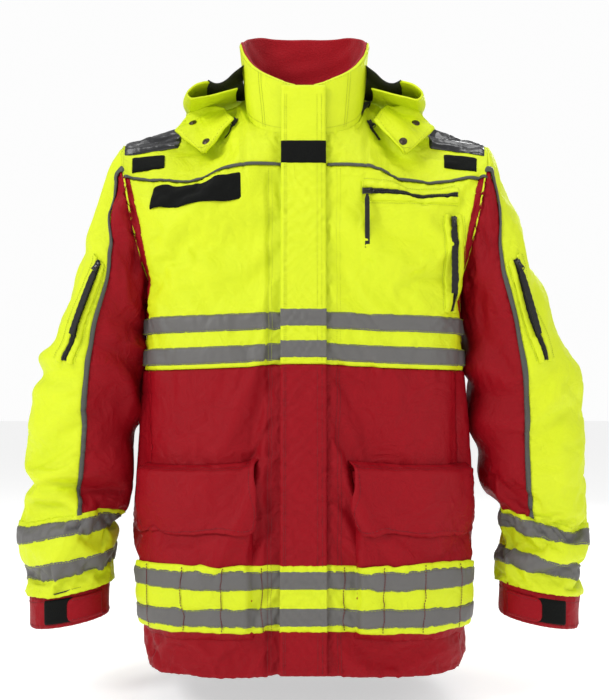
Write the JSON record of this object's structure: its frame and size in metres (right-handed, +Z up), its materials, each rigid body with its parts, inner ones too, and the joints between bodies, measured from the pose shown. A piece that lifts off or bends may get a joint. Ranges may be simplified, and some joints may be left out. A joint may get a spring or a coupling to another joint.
{
  "type": "turnout coat",
  "caption": "Hip-length high-visibility turnout coat with a stand collar, folded-back hood, storm flap, bellows pockets, zip pockets and reflective bands.",
  "frame": {"origin": "middle of the hanger loop inside the back of the collar", "axes": "+Z up along the worn coat, -Y the front, +X the wearer's left"},
  "size_m": [0.868, 0.3852, 0.9886],
  "materials": {
    "yellow_shell": "matt, fine oxford weave, slight sheen",
    "red_shell": "matt, fine oxford weave, slight sheen",
    "reflective_tape": "satin silver-grey beaded tape on yellow ground",
    "black_webbing": "woven, matt",
    "hook_and_loop": "napped loop pile, very matt",
    "zip_tape": "woven tape with moulded coil",
    "red_fleece": "soft brushed pile",
    "black_lining": "plain smooth weave",
    "shoulder_coating": "glossy coated cloth",
    "dark_metal": "dark bronze plating, semi-gloss"
  },
  "bodies": {
    "torso": {"back_panel": "yellow_shell", "back_skirt": "red_shell", "body_lining": "black_lining", "chest_band": "reflective_tape", "chest_left": "yellow_shell", "chest_right": "yellow_shell", "chest_zip": "zip_tape", "collar_fleece": "red_fleece", "collar_shell": "yellow_shell", "front_zip": "zip_tape", "hanger_loop": "black_webbing", "hem_band": "reflective_tape", "hood_bag": "yellow_shell", "name_patch": "hook_and_loop", "pocket_left": "red_shell", "pocket_right": "red_shell", "shoulder_loop_left": "hook_and_loop", "shoulder_loop_right": "hook_and_loop", "shoulder_patch_left": "shoulder_coating", "shoulder_patch_right": "shoulder_coating", "side_panel_left": "red_shell", "side_panel_right": "red_shell", "side_zip": "zip_tape", "skirt_left": "red_shell", "skirt_right": "red_shell", "yoke_left": "yellow_shell", "yoke_right": "yellow_shell"},
    "storm_flap": {"storm_flap": "yellow_shell", "flap_chest_band": "reflective_tape", "flap_hem_band": "reflective_tape", "flap_patch": "hook_and_loop"},
    "front_slider": {"front_slider": "dark_metal"},
    "chest_slider": {"chest_slider": "dark_metal"},
    "chest_pull": {"chest_pull": "black_webbing"},
    "side_slider": {"side_slider": "dark_metal"},
    "side_pull": {"side_pull": "black_webbing"},
    "sleeve_right": {"sleeve_outer_right": "yellow_shell", "sleeve_inner_right": "red_shell", "sleeve_band_right": "reflective_tape", "cuff_right": "red_shell", "sleeve_zip_right": "zip_tape"},
    "cuff_tab_right": {"cuff_tab_right": "red_shell"},
    "pocket_flap_right": {"pocket_flap_right": "red_shell"},
    "hood_tab_right": {"hood_tab_right": "yellow_shell", "snap_1_right": "dark_metal", "snap_2_right": "dark_metal"},
    "sleeve_slider_right": {"sleeve_slider_right": "dark_metal"},
    "sleeve_pull_right": {"sleeve_pull_right": "black_webbing"},
    "sleeve_left": {"sleeve_outer_left": "yellow_shell", "sleeve_inner_left": "red_shell", "sleeve_band_left": "reflective_tape", "cuff_left": "red_shell", "sleeve_zip_left": "zip_tape"},
    "cuff_tab_left": {"cuff_tab_left": "red_shell"},
    "pocket_flap_left": {"pocket_flap_left": "red_shell"},
    "hood_tab_left": {"hood_tab_left": "yellow_shell", "snap_1_left": "dark_metal", "snap_2_left": "dark_metal"},
    "sleeve_slider_left": {"sleeve_slider_left": "dark_metal"},
    "sleeve_pull_left": {"sleeve_pull_left": "black_webbing"}
  },
  "joints": [
    {"name": "sleeve_raise_right", "type": "hinge", "parent": "torso", "child": "sleeve_right", "pos_m": [-0.289, -0.066, -0.098], "axis": [0, 1, 0], "range_deg": [0, 40]},
    {"name": "sleeve_raise_left", "type": "hinge", "parent": "torso", "child": "sleeve_left", "pos_m": [0.289, -0.066, -0.098], "axis": [0, -1, 0], "range_deg": [0, 40]},
    {"name": "cuff_tab_open_right", "type": "hinge", "parent": "sleeve_right", "child": "cuff_tab_right", "pos_m": [-0.30185, -0.13109, -0.81136], "axis": [-0.0229, 0.043, 0.9988], "range_deg": [0, 100]},
    {"name": "cuff_tab_open_left", "type": "hinge", "parent": "sleeve_left", "child": "cuff_tab_left", "pos_m": [0.30185, -0.13109, -0.81136], "axis": [-0.0229, -0.043, -0.9988], "range_deg": [0, 100]},
    {"name": "storm_flap_open", "type": "hinge", "parent": "torso", "child": "storm_flap", "pos_m": [0.035, -0.20172, -0.467], "axis": [0, 0.0494, 0.9988], "range_deg": [0, 110]},
    {"name": "pocket_flap_open_right", "type": "hinge", "parent": "torso", "child": "pocket_flap_right", "pos_m": [-0.17155, -0.20419, -0.594], "axis": [-0.9748, 0.223, 0], "range_deg": [0, 100]},
    {"name": "pocket_flap_open_left", "type": "hinge", "parent": "torso", "child": "pocket_flap_left", "pos_m": [0.17155, -0.20419, -0.594], "axis": [-0.9748, -0.223, 0], "range_deg": [0, 100]},
    {"name": "hood_tab_lift_right", "type": "hinge", "parent": "torso", "child": "hood_tab_right", "pos_m": [-0.1622, -0.11119, -0.05744], "axis": [-0.9362, 0.0122, -0.3512], "range_deg": [0, 80]},
    {"name": "hood_tab_lift_left", "type": "hinge", "parent": "torso", "child": "hood_tab_left", "pos_m": [0.1622, -0.11119, -0.05744], "axis": [-0.9362, -0.0122, 0.3512], "range_deg": [0, 80]},
    {"name": "front_zip_run", "type": "slide", "parent": "torso", "child": "front_slider", "axis": [0, -0.0494, -0.9988], "range_m": [0, 0.8]},
    {"name": "chest_zip_run", "type": "slide", "parent": "torso", "child": "chest_slider", "axis": [0.9923, 0.124, 0.0066], "range_m": [0, 0.1098]},
    {"name": "chest_pull_swing", "type": "hinge", "parent": "chest_slider", "child": "chest_pull", "pos_m": [0.09336, -0.18341, -0.20418], "axis": [-1, 0, 0], "range_deg": [0, 90]},
    {"name": "side_zip_run", "type": "slide", "parent": "torso", "child": "side_slider", "axis": [0.0062, 0.0863, -0.9963], "range_m": [0, 0.0766]},
    {"name": "side_pull_swing", "type": "hinge", "parent": "side_slider", "child": "side_pull", "pos_m": [0.22509, -0.1655, -0.24813], "axis": [-0.8567, -0.5159, 0], "range_deg": [0, 90]},
    {"name": "sleeve_zip_run_right", "type": "slide", "parent": "sleeve_right", "child": "sleeve_slider_right", "axis": [-0.314, 0.008, -0.9494], "range_m": [0, 0.1234]},
    {"name": "sleeve_pull_swing_right", "type": "hinge", "parent": "sleeve_slider_right", "child": "sleeve_pull_right", "pos_m": [-0.32194, -0.16472, -0.31264], "axis": [-0.9147, 0.2655, 0.3047], "range_deg": [0, 90]},
    {"name": "sleeve_zip_run_left", "type": "slide", "parent": "sleeve_left", "child": "sleeve_slider_left", "axis": [0.314, 0.008, -0.9494], "range_m": [0, 0.1234]},
    {"name": "sleeve_pull_swing_left", "type": "hinge", "parent": "sleeve_slider_left", "child": "sleeve_pull_left", "pos_m": [0.32194, -0.16472, -0.31264], "axis": [-0.9147, -0.2655, -0.3047], "range_deg": [0, 90]}
  ]
}
